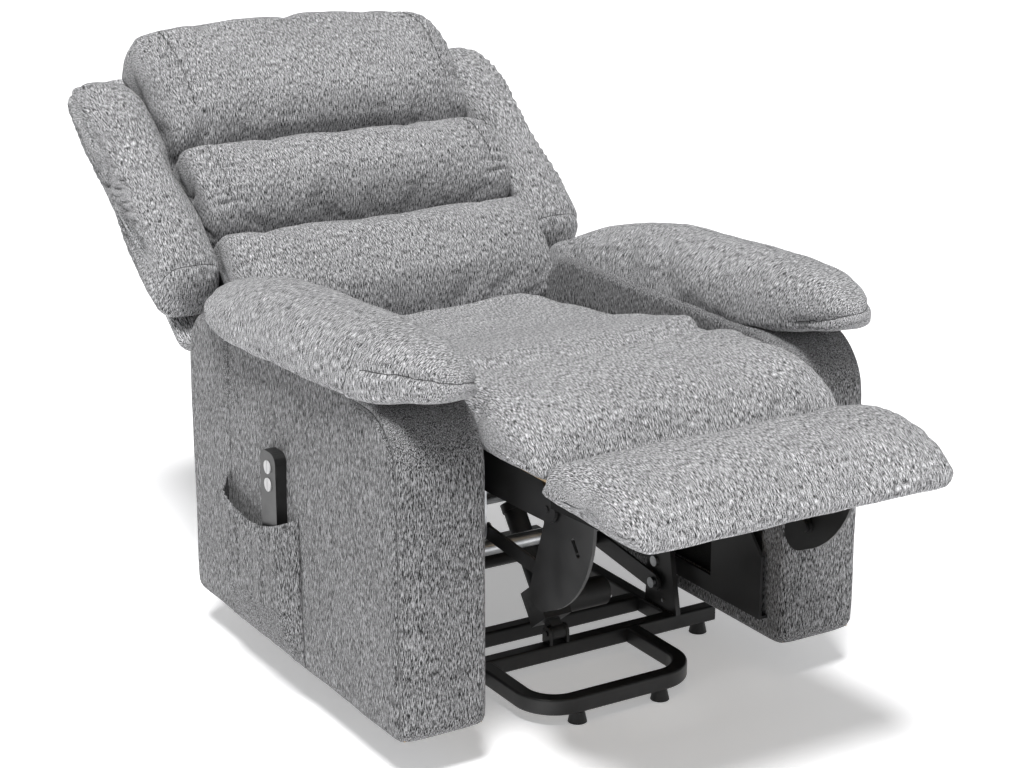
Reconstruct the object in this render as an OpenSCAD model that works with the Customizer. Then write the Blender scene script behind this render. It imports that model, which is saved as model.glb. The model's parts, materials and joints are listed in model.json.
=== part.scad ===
// Lift recliner chair, reclined with the legrest out.
// Chair frame: X is across (+X is the sitter's left), Y runs from front to back, Z is up from the floor.
// Inside the modules Y = 0 is the front face of the arms; place() then centres the chair over its origin.

/* [Arms] */
// Half of the distance between the inner faces of the arms
arm_inner = 266; // [240:1:300]
// Thickness of one upholstered arm
arm_thick = 144; // [110:1:170]
// Depth of an arm, front to back
arm_depth = 715; // [650:5:780]
// Height of an arm's lower edge above the floor
arm_bottom = 60; // [50:1:80]
// Height of an arm's top, under the pad
arm_top = 556; // [530:1:580]
// Radius of the front top corner of an arm
arm_front_radius = 95; // [60:1:120]
// Radius of the rear top corner of an arm
arm_rear_radius = 85; // [60:1:120]

/* [Seat and back] */
// Half width of the seat cushions
seat_half = 264; // [230:1:264]
// Angle of the back above the horizontal when fully reclined
back_angle = 38; // [34:1:42]
// Length of the back shell along its slope
shell_length = 604; // [560:1:640]
// Half width of the back shell
shell_half = 385; // [360:1:400]
// Half width of the back cushions
back_cushion_half = 278; // [250:1:282]

/* [Base] */
// Width of the rectangular base tubes
base_tube = 25; // [20:1:28]
// Height of the rectangular base tubes
base_tube_height = 27; // [22:1:30]
// Height of the glides under the base
glide_height = 18; // [12:1:20]
// Half of the distance between the base side rails
rail_half = 228; // [225:1:231]

/* [Lift linkage] */
// Lower lift arm, front pivot: distance back and height
lift_low = [277, 89]; // [0:1:400]
// Upper lift link, front pivot
lift_high = [287, 121]; // [0:1:400]
// Lower lift arm, rear pivot
lift_low_rear = [560, 122.5]; // [0:0.1:700]
// Upper lift link, rear pivot
lift_high_rear = [632.5, 195]; // [0:0.1:700]

/* [Motion] */
// Backward travel of the seat in its swing links from reclined to upright
glide_travel = 70; // [60:1:74]
// Length of a swing link between its pivots
swing_length = 90; // [80:1:100]
// Thickness of steel link plates
plate = 5; // [4:1:6]

/* [Handset] */
// Length of the hand control
handset_length = 190; // [150:1:200]
// Width of the hand control
handset_width = 52; // [44:1:60]
// Thickness of the hand control
handset_thick = 20; // [16:1:22]

/* [Hidden] */
$fn = 48;

centre_y = -457.5;
steel = [0.07, 0.07, 0.075];
zinc = [0.62, 0.63, 0.64];
cloth = [0.50, 0.49, 0.48];
lining = [0.09, 0.09, 0.10];
timber = [0.72, 0.58, 0.40];
plastic = [0.05, 0.05, 0.055];

arm_outer = arm_inner + arm_thick;
tube_r = base_tube / 2;
base_z = glide_height + base_tube_height / 2;
base_front_y = 240;
base_rear_y = 690;
play = 0.4;
pin_r = 5;
eye_r = 12;

// lateral places of the plates of the mechanism, from the middle outwards
x_low_arm = 213;
x_push = 216;
x_crank = 223;
x_tower = 223;
x_tower_end = 232;
x_seat_plate = 231;
x_high_link = 236;
x_swing = 240;
x_chassis = 250;

// pivots of the seat mechanism
swing_front = [150, 335];
swing_rear = [520, 285];
swing_lean = asin(glide_travel / 2 / swing_length);
swing_offset = [-glide_travel / 2, swing_length * cos(swing_lean)];
swing_front_top = swing_front + swing_offset;
swing_rear_top = swing_rear + swing_offset;
legrest_pivot = [-105, 425];
crank_pivot = [95, 440];
crank_arm = [-2, -112];
guard_pin = legrest_pivot + crank_arm;
crank_pin = crank_pivot + crank_arm;
lever_pin = crank_pivot + [-29, -34.5];
back_pivot = [745, 430];
recline_pin = back_pivot + [-19, -108];

// pivots of the three linear drives
lift_drive_base = [240, 62];
lift_drive_pin = [400, 270];
legrest_drive_base = [480, 400];
recline_drive_base = [540, 400];
drive_x = 110;

shell_tip = [809, 435];
web_z = 426;

// ---------- helpers ----------

module place() {
    translate([0, centre_y, 0]) children();
}

module both_sides() {
    children();
    mirror([1, 0, 0]) children();
}

// a flat outline drawn in (Y, Z) and given thickness from x0 to x1
module across(x0, x1) {
    translate([x0, 0, 0]) rotate([90, 0, 90]) linear_extrude(x1 - x0) children();
}

// a round bar along X through the point p
module bar_x(p, r, x0, x1) {
    across(x0, x1) translate(p) circle(r);
}

// a hollow tube along X
module tube_x(p, r, wall, x0, x1) {
    across(x0, x1) difference() {
        translate(p) circle(r);
        translate(p) circle(r - wall);
    }
}

// outline of a flat link with round ends
module bar_outline(p, q, width) {
    turn = atan2(q.y - p.y, q.x - p.x);
    polygon(concat(arc(p, width / 2, turn + 90, turn + 270, 10), arc(q, width / 2, turn - 90, turn + 90, 10)));
}

// the same link with a pivot hole at each end
module link_outline(p, q, width, hole) {
    difference() {
        bar_outline(p, q, width);
        translate(p) circle(hole);
        translate(q) circle(hole);
    }
}

// points of an arc about c from angle a to angle b
function arc(c, r, a, b, steps = 8) =
    [for (i = [0:steps]) c + r * [cos(a + (b - a) * i / steps), sin(a + (b - a) * i / steps)]];

// a rectangle with four round corners
function round_box(lo, hi, r) = concat(
    arc([hi.x - r, hi.y - r], r, 0, 90, 5), arc([lo.x + r, hi.y - r], r, 90, 180, 5),
    arc([lo.x + r, lo.y + r], r, 180, 270, 5), arc([hi.x - r, lo.y + r], r, 270, 360, 5));

// side outline of an arm, drawn in by inset
function arm_outline(inset) = concat(
    [[arm_depth - inset, arm_bottom + inset]],
    arc([arm_depth - arm_rear_radius, arm_top - arm_rear_radius], arm_rear_radius - min(inset, 70), 0, 90),
    arc([arm_front_radius, arm_top - arm_front_radius], arm_front_radius - min(inset, 70), 90, 180),
    [[inset, arm_bottom + inset]]);

// places children in the back's own frame: X across, Y up the slope, Z out of the cushions
module in_back() {
    translate([0, shell_tip.x, shell_tip.y]) rotate([back_angle, 0, 0]) children();
}

// ring of a soft loaf at depth y: flat underneath, crowned on top
function loaf_ring(y, x0, x1, z0, z1, crown) = let (r = (z1 - z0) * 0.55, mid = (x0 + x1) / 2) concat(
    [[x0, y, z0], [x1, y, z0]],
    [for (i = [0:8]) let (t = i / 8, a = 180 * t)
        [mid + (x1 - x0) / 2 * cos(a) * (1 - 0.02 * sin(a)), y, z0 + 8 + (z1 - z0 - 8) * pow(sin(a), crown)]]);

// closed skin over a row of rings with the same number of points
module loft(rings) {
    n = len(rings[0]);
    m = len(rings);
    points = [for (r = rings) each r];
    sides = [for (j = [0:m - 2], i = [0:n - 1]) each [
        [j * n + i, (j + 1) * n + i, (j + 1) * n + (i + 1) % n],
        [j * n + i, (j + 1) * n + (i + 1) % n, j * n + (i + 1) % n]]];
    polyhedron(points, concat([[for (i = [0:n - 1]) i]], sides,
        [[for (i = [n - 1:-1:0]) (m - 1) * n + i]]), convexity = 6);
}

// ---------- base ----------

// cross-section of the rectangular base tube
module base_section() {
    w = base_tube / 2;
    h = base_tube_height / 2;
    difference() {
        polygon(round_box([-w, -h], [w, h], 4));
        polygon(round_box([2 - w, 2 - h], [w - 2, h - 2], 2.5));
    }
}

module base_tube_x(y, x0, x1) {
    across(x0, x1) translate([y, base_z]) base_section();
}

module base_tube_y(x, y0, y1) {
    translate([x, y1, base_z]) rotate([90, 0, 0]) linear_extrude(y1 - y0) base_section();
}

module base_front_loop() {
    corner = 58;
    reach = 140;
    front = 46 + tube_r;
    color(steel) place() {
        both_sides() {
            base_tube_y(reach, front + corner, base_front_y - tube_r);
            translate([reach - corner, front + corner, base_z]) rotate([0, 0, -90]) rotate_extrude(angle = 90)
                translate([corner, 0]) base_section();
        }
        base_tube_x(front, corner - reach, reach - corner);
    }
}

module base_cross_front() {
    color(steel) place() base_tube_x(base_front_y, -305, 305);
}

module base_cross_rear() {
    color(steel) place() {
        base_tube_x(337, tube_r - rail_half, rail_half - tube_r);
        base_tube_x(base_rear_y, -250, 250);
    }
}

module base_side_rails() {
    color(steel) place() both_sides()
        base_tube_y(rail_half, base_front_y + tube_r, base_rear_y - tube_r);
}

module tower() {
    foot = glide_height + base_tube_height;
    color(steel) place() across(x_tower, x_tower_end) difference() {
        polygon(concat([[224, foot], [314, foot]], arc(lift_high, 23, -15, 60, 4), [[284, 156], [247, 156]]));
        translate(lift_low) circle(pin_r + play);
        translate(lift_high) circle(pin_r + play);
        translate([262, 60]) circle(3.2);
    }
}

module tower_right() { tower(); }
module tower_left() { mirror([1, 0, 0]) tower(); }

module base_glides() {
    color(plastic) place() both_sides() {
        for (p = [[76, 58.5], [279, base_front_y], [160, base_rear_y], [236, base_rear_y]])
            translate([p.x, p.y, 0]) cylinder(h = glide_height, r1 = 15, r2 = 11);
        for (y = [400, 560])
            translate([rail_half, y, 0]) cylinder(h = glide_height, r1 = 15, r2 = 11);
    }
}

module tower_bolts() {
    color(zinc) place() both_sides() {
        bar_x(lift_low, pin_r, x_low_arm - 1, x_tower_end + 1);
        bar_x(lift_low, 9, x_low_arm - 6, x_low_arm - 1);
        bar_x(lift_high, pin_r, x_tower - 1, x_high_link + plate + 1);
        bar_x(lift_high, 9, x_tower - 4, x_tower);
        bar_x([262, 60], 3, x_tower - 2, x_tower_end + 2);
        bar_x([262, 60], 6, x_tower_end, x_tower_end + 3);
    }
}

// ears that hold the eye of a drive, on the side away from it
module drive_ears(p, foot, x_mid) {
    for (s = [-1, 1])
        across(x_mid + (s > 0 ? eye_r + 1 : -eye_r - 1 - plate), x_mid + (s > 0 ? eye_r + 1 + plate : -eye_r - 1))
            difference() {
                bar_outline(p, foot, 24);
                translate(p) circle(pin_r + 0.05);
            }
    bar_x(p, pin_r, x_mid - eye_r - plate - 3, x_mid + eye_r + plate + 3);
}

module lift_motor_bracket() {
    color(steel) place() difference() {
        drive_ears(lift_drive_base, [base_front_y, base_z + 6], 0);
        across(-40, 40) translate([base_front_y, base_z]) square([base_tube, base_tube_height], center = true);
    }
}

// ---------- lift arms and links ----------

module lift_arm() {
    color(steel) place() across(x_low_arm, x_low_arm + plate)
        link_outline(lift_low, lift_low_rear, 30, pin_r + play);
}

module lift_arm_right() { lift_arm(); }
module lift_arm_left() { mirror([1, 0, 0]) lift_arm(); }

module lift_torsion_tube() {
    p = lift_low + 0.62 * (lift_low_rear - lift_low);
    color(steel) place() tube_x(p, 12, 2, -x_low_arm, x_low_arm);
}

module lift_links() {
    color(steel) place() both_sides() across(x_high_link, x_high_link + plate)
        difference() {
            link_outline(lift_high, lift_high_rear, 26, pin_r + play);
            translate(lift_high_rear) circle(pin_r + 1.6);
        }
}

// ---------- linear drives ----------

// turns children so that their +Z runs from p towards q; both points are (Y, Z)
module aim(p, q, x) {
    translate([x, p.x, p.y]) rotate([atan2(q.y - p.y, q.x - p.x) - 90, 0, 0]) children();
}

// gearbox, motor can and outer tube; motor_side is +1 or -1 along X
module drive_body(tube_end, motor_side, bore = 14) {
    difference() {
        union() {
            rotate([0, 90, 0]) cylinder(h = 2 * eye_r, r = eye_r, center = true);
            translate([-10, -9, 0]) cube([20, 18, 24]);
            translate([-25, -25, 20]) cube([50, 50, 58]);
            translate([0, 0, 78]) cylinder(h = tube_end - 78, r = bore + 4);
            translate([0, 0, tube_end - 14]) cylinder(h = 14, r = bore + 6);
            translate([motor_side * 24, 0, 49]) rotate([0, motor_side * 90, 0]) cylinder(h = 84, r = 24);
            translate([motor_side * 106, 0, 49]) rotate([0, motor_side * 90, 0]) cylinder(h = 6, r = 20);
        }
        rotate([0, 90, 0]) cylinder(h = 4 * eye_r, r = pin_r + play, center = true);
        translate([0, 0, 82]) cylinder(h = tube_end, r = bore);
    }
}

// sliding rod with an eye at its far end; local origin is the eye, rod runs along -Z
module drive_rod(length) {
    difference() {
        union() {
            translate([0, 0, -length]) cylinder(h = length - 6, r = 8);
            rotate([0, 90, 0]) cylinder(h = 2 * eye_r, r = eye_r, center = true);
        }
        rotate([0, 90, 0]) cylinder(h = 4 * eye_r, r = pin_r + play, center = true);
    }
}

module drive_rod_at(p, q, x, length) {
    d = q - p;
    aim(p, q, x) translate([0, 0, norm(d)]) drive_rod(length);
}

module lift_motor() {
    color(plastic) place() aim(lift_drive_base, lift_drive_pin, 0) drive_body(222, 1);
}

module lift_rod() {
    color(zinc) place() drive_rod_at(lift_drive_base, lift_drive_pin, 0, 170);
}

module legrest_motor() {
    color(plastic) place() aim(legrest_drive_base, lever_pin, -drive_x) drive_body(332, 1, 16.5);
}

module legrest_rod() {
    color(zinc) place() drive_rod_at(legrest_drive_base, lever_pin, -drive_x, 180);
}

module recline_motor() {
    color(plastic) place() aim(recline_drive_base, recline_pin, drive_x) drive_body(170, -1);
}

module recline_rod() {
    color(zinc) place() drive_rod_at(recline_drive_base, recline_pin, drive_x, 114);
}

// ---------- chassis ----------

module chassis_plate() {
    color(steel) place() {
        across(x_chassis, x_chassis + plate) difference() {
            polygon([[40, 100], [40, 205], [90, 260], [118, 350], [185, 350], [205, 295], [470, 290],
                [490, 302], [550, 302], [570, 235], [705, 215], [705, 100]]);
            polygon([[170, 130], [170, 215], [250, 235], [450, 225], [450, 130]]);
            polygon([[480, 130], [480, 225], [555, 220], [620, 190], [620, 130]]);
        }
        across(x_chassis, arm_inner) translate([40, 100]) square([665, plate]);
        for (p = [swing_front, swing_rear])
            bar_x(p, pin_r, x_swing - 2, x_chassis + plate);
    }
}

module chassis_plate_right() { chassis_plate(); }
module chassis_plate_left() { mirror([1, 0, 0]) chassis_plate(); }

module chassis_cross_tubes() {
    color(zinc) place() {
        tube_x([200, 249], 12, 2, -x_chassis, x_chassis);
        tube_x([425, 270], 10, 2, -x_chassis, x_chassis);
        tube_x([690, 120], 12, 2, -x_chassis, x_chassis);
        difference() {
            drive_ears(lift_drive_pin, [423, 270], 0);
            bar_x([425, 270], 10, -40, 40);
        }
    }
}

module lift_brackets() {
    color(steel) place() both_sides() {
        across(x_tower, x_tower_end) difference() {
            polygon(concat(arc(lift_low_rear, 20, 150, 280, 6), [[708, 100], [708, 136]],
                arc(lift_high_rear, 20, 0, 150, 6)));
            translate([690, 120]) circle(12);
        }
        bar_x(lift_low_rear, pin_r, x_low_arm - 1, x_tower);
        bar_x(lift_low_rear, 9, x_low_arm - 5, x_low_arm - 1);
        bar_x(lift_high_rear, pin_r, x_tower_end, x_high_link + plate + 1);
    }
}

// ---------- arms ----------

module arm_frame() {
    color(timber) place() {
        for (x = [arm_inner + 8, arm_outer - 28])
            across(x, x + 20) difference() {
                polygon(arm_outline(8));
                polygon(arm_outline(58));
            }
        for (p = [[12, 70], [655, 70], [12, 400], [655, 400]])
            translate([arm_inner + 28, p.x, p.y]) cube([arm_thick - 56, 45, 45]);
    }
}

module arm_frame_right() { arm_frame(); }
module arm_frame_left() { mirror([1, 0, 0]) arm_frame(); }

module arm_cover() {
    skin = 6;
    color(cloth) place() difference() {
        across(arm_inner, arm_outer) polygon(arm_outline(0));
        across(arm_inner + skin, arm_outer - skin) polygon(arm_outline(skin));
        across(arm_inner - 1, arm_inner + skin + 1) polygon(arm_outline(65));
    }
}

module arm_cover_right() { arm_cover(); }
module arm_cover_left() { mirror([1, 0, 0]) arm_cover(); }

module arm_liners() {
    color(lining) place() both_sides() across(arm_inner + 1.5, arm_inner + 4.5) polygon(arm_outline(65));
}

module arm_pad() {
    x0 = arm_inner - 4;
    x1 = arm_outer + 28;
    base = arm_top + 0.3;
    color(cloth) place() loft([
        loaf_ring(-58, x0 + 14, x1 - 14, base + 16, base + 60, 0.5),
        loaf_ring(-50, x0 + 4, x1 - 4, base + 4, base + 82, 0.5),
        loaf_ring(-6, x0, x1, base, base + 91, 0.5),
        loaf_ring(107, x0, x1, base, base + 98, 0.5),
        loaf_ring(289, x0, x1, base, base + 102, 0.5),
        loaf_ring(455, x0, x1, base, base + 84, 0.5),
        loaf_ring(601, x0, x1, base, base + 50, 0.5),
        loaf_ring(700, x0 + 4, x1 - 4, base, base + 22, 0.5),
        loaf_ring(738, x0 + 12, x1 - 12, base - 6, base + 6, 0.5)]);
}

module arm_pad_right() { arm_pad(); }
module arm_pad_left() { mirror([1, 0, 0]) arm_pad(); }

// pouch on the outer face of one arm
pocket_y = [305, 565];
handset_top = 403;
pocket_floor = handset_top - handset_length - 0.3;

module handset_pocket() {
    bulge = handset_thick + 8;
    color(cloth) place() mirror([1, 0, 0]) difference() {
        translate([arm_outer, pocket_y[0], arm_bottom + 2]) cube([bulge, pocket_y[1] - pocket_y[0], 232]);
        translate([arm_outer - 1, pocket_y[0] + 5, pocket_floor])
            cube([bulge - 3, pocket_y[1] - pocket_y[0] - 10, 200]);
    }
}

module control_box() {
    color(plastic) place() difference() {
        translate([-90, 610, 132]) cube([180, 74, 42]);
        translate([-70, 680, 145]) cube([16, 10, 12]);
    }
}

module power_inlet() {
    color(plastic) place() translate([-62, 689, 151]) rotate([90, 0, 0]) difference() {
        cylinder(h = 8.9, r = 5.8);
        translate([0, 0, -1]) cylinder(h = 7, r = 3.2);
    }
}

// ---------- swing links and seat ----------

module swing_pair(p, q) {
    color(steel) place() both_sides() across(x_swing, x_swing + plate) link_outline(p, q, 24, pin_r + play);
}

module swing_links_front() { swing_pair(swing_front, swing_front_top); }
module swing_links_rear() { swing_pair(swing_rear, swing_rear_top); }

module seat_plates() {
    color(steel) place() both_sides() {
        across(x_seat_plate, x_seat_plate + plate) difference() {
            polygon(concat(arc(legrest_pivot, 20, 130, 250, 5), [[-60, 404], [75, 400]],
                [[250, 385], [440, 352]], arc(swing_rear_top, 17, 230, 310, 4), [[650, 370], [735, 404]],
                arc(back_pivot, 26, -70, 100, 6), [[600, 424], [200, 448], [100, 462], [-90, 462]]));
            translate(legrest_pivot) circle(pin_r + play);
            translate(crank_pivot) circle(12 + play);
            translate(back_pivot) circle(12 + play);
        }
        for (p = [swing_front_top, swing_rear_top])
            bar_x(p, pin_r, x_seat_plate + plate - 1, x_swing + plate + 2);
    }
}

module seat_cross_tubes() {
    color(steel) place() {
        tube_x([510, 400], 11, 2, -x_seat_plate, x_seat_plate);
        tube_x([650, 412], 10, 2, -x_seat_plate, x_seat_plate);
        difference() {
            union() {
                drive_ears(legrest_drive_base, [508, 400], -drive_x);
                drive_ears(recline_drive_base, [512, 400], drive_x);
            }
            bar_x([510, 400], 11, -200, 200);
        }
    }
}

module seat_deck() {
    color(timber) place() {
        translate([-236, -112, 463]) cube([472, 192, 9]);
        both_sides() across(x_seat_plate - 26, x_seat_plate)
            polygon([[116, 452], [600, web_z], [600, web_z + 6], [100, 462]]);
    }
}

module seat_webbing() {
    slope = atan2(web_z + 6 - 463, 500);
    color(lining) place() translate([0, 90, 464]) rotate([slope, 0, 0]) {
        for (x = [-160, -80, 0, 80, 160])
            translate([x - 25, 0, 0]) cube([50, 530, 2]);
        for (y = [40, 130, 220, 310, 400, 490])
            translate([-232, y - 25, 2]) cube([464, 50, 2]);
    }
}

module seat_cushion() {
    color(cloth) place() across(-seat_half, seat_half) polygon(concat(
        [[181, 474], [620, 441], [690, 450], [694, 458], [645, 472], [620, 484]],
        [[523, 495], [404, 507], [291, 523], [237, 534], [200, 532], [181, 512]]));
}

module knee_bolster() {
    color(cloth) place() across(-seat_half, seat_half) polygon(concat(
        [[-116, 473], [180, 473], [180, 512], [162, 534]],
        [[120, 544], [88, 546], [6, 547], [-54, 536], [-100, 515], [-126, 492], [-128, 481]]));
}

// ---------- back ----------

module back_frame() {
    color(steel) place() {
        in_back() {
            both_sides() translate([262, -12, 24]) difference() {
                cube([20, 560, 34]);
                translate([2, -1, 2]) cube([16, 562, 30]);
            }
            for (s = [-12, 150, 330, 528])
                translate([-262, s, 24]) difference() {
                    cube([524, 20, 20]);
                    translate([-1, 2, 2]) cube([526, 16, 16]);
                }
        }
        both_sides() across(288, 288 + plate) difference() {
            union() {
                translate(back_pivot) circle(22);
                translate(shell_tip) rotate(back_angle)
                    polygon([[-58, 20], [150, 22], [240, 40], [240, 60], [60, 88], [40, 88], [-20, 62], [-60, 52]]);
            }
            translate(back_pivot) circle(12);
        }
        in_back() both_sides() for (s = [40, 130])
            translate([282, s, 30]) cube([6, 30, 22]);
    }
}

module recline_torque_tube() {
    color(zinc) place() {
        tube_x(back_pivot, 12, 3, -300, 300);
        difference() {
            for (s = [-1, 1])
                across(drive_x + s * (eye_r + 1) + (s < 0 ? -plate : 0), drive_x + s * (eye_r + 1) + (s < 0 ? 0 : plate))
                    bar_outline(back_pivot, recline_pin, 28);
            bar_x(back_pivot, 11.9, -300, 300);
        }
        bar_x(recline_pin, pin_r, drive_x - eye_r - plate - 3, drive_x + eye_r + plate + 3);
    }
}

module back_shell() {
    color(cloth) place() in_back() linear_extrude(18) polygon(concat(
        [[-shell_half + 12, 0], [shell_half - 12, 0]],
        arc([shell_half - 90, shell_length - 90], 90, 0, 90), arc([90 - shell_half, shell_length - 90], 90, 90, 180)));
}

// a transverse roll of the back: s along the slope, n out of it
module back_roll(half, lo, hi, r) {
    place() in_back() rotate([90, 0, 90]) translate([0, 0, -half]) linear_extrude(2 * half)
        polygon(round_box(lo, hi, r));
}

module lumbar_cushion() {
    color(cloth) back_roll(258, [-28, 62], [158, 146], 36);
}

module middle_cushion() {
    color(cloth) back_roll(back_cushion_half, [160, 62], [345, 156], 40);
}

module head_cushion() {
    color(cloth) back_roll(back_cushion_half, [347, 62], [632, 158], 44);
}

module wing() {
    color(cloth) place() in_back() intersection() {
        rotate([90, 0, 90]) translate([0, 0, 300]) linear_extrude(120) polygon(round_box([53, 20], [578, 128], 40));
        linear_extrude(200) polygon(round_box([306, 53], [408, 578], 42));
    }
}

module wing_right() { wing(); }
module wing_left() { mirror([1, 0, 0]) wing(); }

// ---------- legrest ----------

module legrest_board() {
    color(timber) place() across(-246, 246) polygon([[-130, 448], [-352, 461], [-352, 449], [-130, 436]]);
}

module legrest_pad() {
    color(cloth) place() across(-seat_half + 2, seat_half - 2) polygon([
        [-133, 449], [-131, 478], [-150, 497], [-190, 511], [-240, 516], [-300, 508], [-343, 492],
        [-368, 474], [-370, 464], [-356, 462]]);
}

module guard_plate() {
    slot_a = [-159, 394];
    slot_b = [-171, 379];
    color(steel) place() {
        across(x_crank, x_crank + plate) difference() {
            union() {
                polygon(concat([[-88, 432], [-132, 434], [-212, 438]], arc([-40, 430], 170, 180, 250, 10),
                    arc([-75, 290], 28, 240, 350, 6), [[-63, 335], [-84, 395]]));
                translate(legrest_pivot) circle(18);
            }
            translate(legrest_pivot) circle(pin_r);
            translate(guard_pin) circle(pin_r);
            polygon(concat(arc(slot_a, 5, 0, 180), arc(slot_b, 5, 180, 360)));
        }
        across(x_crank - 20, x_crank) polygon([[-136, 432], [-212, 436.4], [-212, 440.4], [-136, 436]]);
        bar_x(legrest_pivot, pin_r, x_crank - 2, x_seat_plate + plate + 2);
        bar_x(legrest_pivot, 9, x_crank - 6, x_crank - 1);
        bar_x(guard_pin, pin_r, x_push - 2, x_crank + plate);
        bar_x(guard_pin, 9, x_push - 6, x_push - 2);
    }
}

module guard_plate_right() { guard_plate(); }
module guard_plate_left() { mirror([1, 0, 0]) guard_plate(); }

module legrest_torque_tube() {
    color(zinc) place() {
        tube_x(crank_pivot, 12, 3, -x_seat_plate - plate, x_seat_plate + plate);
        both_sides() difference() {
            across(x_crank, x_crank + plate) bar_outline(crank_pivot, crank_pin, 30);
            bar_x(crank_pivot, 11.9, 200, 240);
        }
        both_sides() {
            bar_x(crank_pin, pin_r, x_push - 2, x_crank);
            bar_x(crank_pin, 9, x_push - 6, x_push - 2);
        }
        difference() {
            for (s = [-1, 1])
                across(-drive_x + s * (eye_r + 1) + (s < 0 ? -plate : 0), -drive_x + s * (eye_r + 1) + (s < 0 ? 0 : plate))
                    bar_outline(crank_pivot, lever_pin, 24);
            bar_x(crank_pivot, 11.9, -200, 0);
        }
        bar_x(lever_pin, pin_r, -drive_x - eye_r - plate - 3, -drive_x + eye_r + plate + 3);
    }
}

module push_links() {
    color(steel) place() both_sides() {
        across(x_push, x_push + plate) difference() {
            link_outline(guard_pin, crank_pin, 22, pin_r + play);
            translate(guard_pin) circle(pin_r + 0.8);
        }
    }
}

// ---------- handset ----------

handset_y = [347, 347 + handset_width];
handset_x = arm_outer + 1.5;
button_r = 10.5;
button_mid = (handset_y[0] + handset_y[1]) / 2;
button_rows = [378, 350];

// D-shaped outline, half of an oval button pair; side is +1 or -1 along Y
module button_outline(side, z, gap) {
    intersection() {
        translate([button_mid, z]) circle(button_r + gap);
        translate([side > 0 ? button_mid + 0.8 - gap : button_mid - 0.8 + gap - 30, z - 30]) square([30, 60]);
    }
}

module button(side, z) {
    x = handset_x + handset_thick;
    color(zinc) place() mirror([1, 0, 0]) across(x - 1.6, x + 1.8) button_outline(side, z, 0);
}

module handset_body() {
    x = handset_x + handset_thick;
    color(plastic) place() mirror([1, 0, 0]) difference() {
        across(handset_x, x) polygon(round_box([handset_y[0], handset_top - handset_length],
            [handset_y[1], handset_top], 16));
        for (z = button_rows, side = [-1, 1])
            across(x - 3.6, x + 1) button_outline(side, z, 0.3);
    }
}

module raise_button() { button(-1, button_rows[0]); }
module lower_button() { button(1, button_rows[0]); }
module legrest_out_button() { button(-1, button_rows[1]); }
module legrest_in_button() { button(1, button_rows[1]); }

base_front_loop();
base_cross_front();
base_cross_rear();
base_side_rails();
tower_left();
tower_right();
base_glides();
tower_bolts();
lift_motor_bracket();
lift_arm_left();
lift_arm_right();
lift_torsion_tube();
lift_links();
lift_motor();
lift_rod();
chassis_plate_left();
chassis_plate_right();
chassis_cross_tubes();
lift_brackets();
arm_frame_left();
arm_frame_right();
arm_cover_left();
arm_cover_right();
arm_liners();
arm_pad_left();
arm_pad_right();
handset_pocket();
control_box();
power_inlet();
swing_links_front();
swing_links_rear();
seat_plates();
seat_deck();
seat_webbing();
seat_cross_tubes();
seat_cushion();
knee_bolster();
back_frame();
recline_torque_tube();
back_shell();
lumbar_cushion();
middle_cushion();
head_cushion();
wing_left();
wing_right();
recline_motor();
recline_rod();
legrest_board();
legrest_pad();
guard_plate_left();
guard_plate_right();
legrest_torque_tube();
push_links();
legrest_motor();
legrest_rod();
handset_body();
raise_button();
lower_button();
legrest_out_button();
legrest_in_button();
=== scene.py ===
"""Looks of an upholstered lift recliner chair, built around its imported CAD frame.

Shapes are worked out in millimetres in the chair's own coordinates: x across, y back from the arms' front
plane, z up from the floor. The back's pieces are drawn in (x, s, n): s runs up the back and n stands off it.
"""

import json
import math

import bmesh
import bpy
import numpy as np
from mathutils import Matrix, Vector, noise


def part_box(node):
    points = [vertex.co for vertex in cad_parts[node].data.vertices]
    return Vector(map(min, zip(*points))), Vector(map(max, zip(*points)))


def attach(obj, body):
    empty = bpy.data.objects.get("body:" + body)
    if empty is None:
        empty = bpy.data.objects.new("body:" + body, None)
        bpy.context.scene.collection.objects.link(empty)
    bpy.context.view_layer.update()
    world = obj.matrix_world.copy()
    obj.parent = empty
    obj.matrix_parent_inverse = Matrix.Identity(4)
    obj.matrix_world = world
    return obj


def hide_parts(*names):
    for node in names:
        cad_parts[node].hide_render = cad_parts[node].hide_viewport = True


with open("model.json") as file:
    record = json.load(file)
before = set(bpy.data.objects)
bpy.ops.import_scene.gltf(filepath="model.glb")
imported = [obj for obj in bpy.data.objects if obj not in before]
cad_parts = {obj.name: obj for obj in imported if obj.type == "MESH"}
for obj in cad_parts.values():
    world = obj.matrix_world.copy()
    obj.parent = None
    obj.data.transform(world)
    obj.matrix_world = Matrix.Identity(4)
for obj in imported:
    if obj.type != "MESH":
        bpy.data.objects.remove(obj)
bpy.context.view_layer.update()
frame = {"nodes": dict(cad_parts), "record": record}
nodes = frame["nodes"]

MM = 0.001
ARM_LOW, ARM_HIGH = (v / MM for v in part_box("arm_cover_right"))
ROW_Y = ARM_LOW.y
ARM_INNER, ARM_OUTER = ARM_LOW.x, ARM_HIGH.x
ARM_DEPTH = ARM_HIGH.y - ARM_LOW.y
ARM_BOTTOM, ARM_TOP = ARM_LOW.z, ARM_HIGH.z
ARM_FRONT_RADIUS = 95
ARM_REAR_RADIUS = 85
SEAT_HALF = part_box("seat_cushion")[1].x / MM
SHELL_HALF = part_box("back_shell")[1].x / MM
SHELL_TIP = np.array([809.0, 435.0])
BACK_TILT = math.radians(38)
UP_BACK = np.array([math.cos(BACK_TILT), math.sin(BACK_TILT)])
OFF_BACK = np.array([-math.sin(BACK_TILT), math.cos(BACK_TILT)])


# ---------- materials ----------


WEAVE = "weave"


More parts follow.
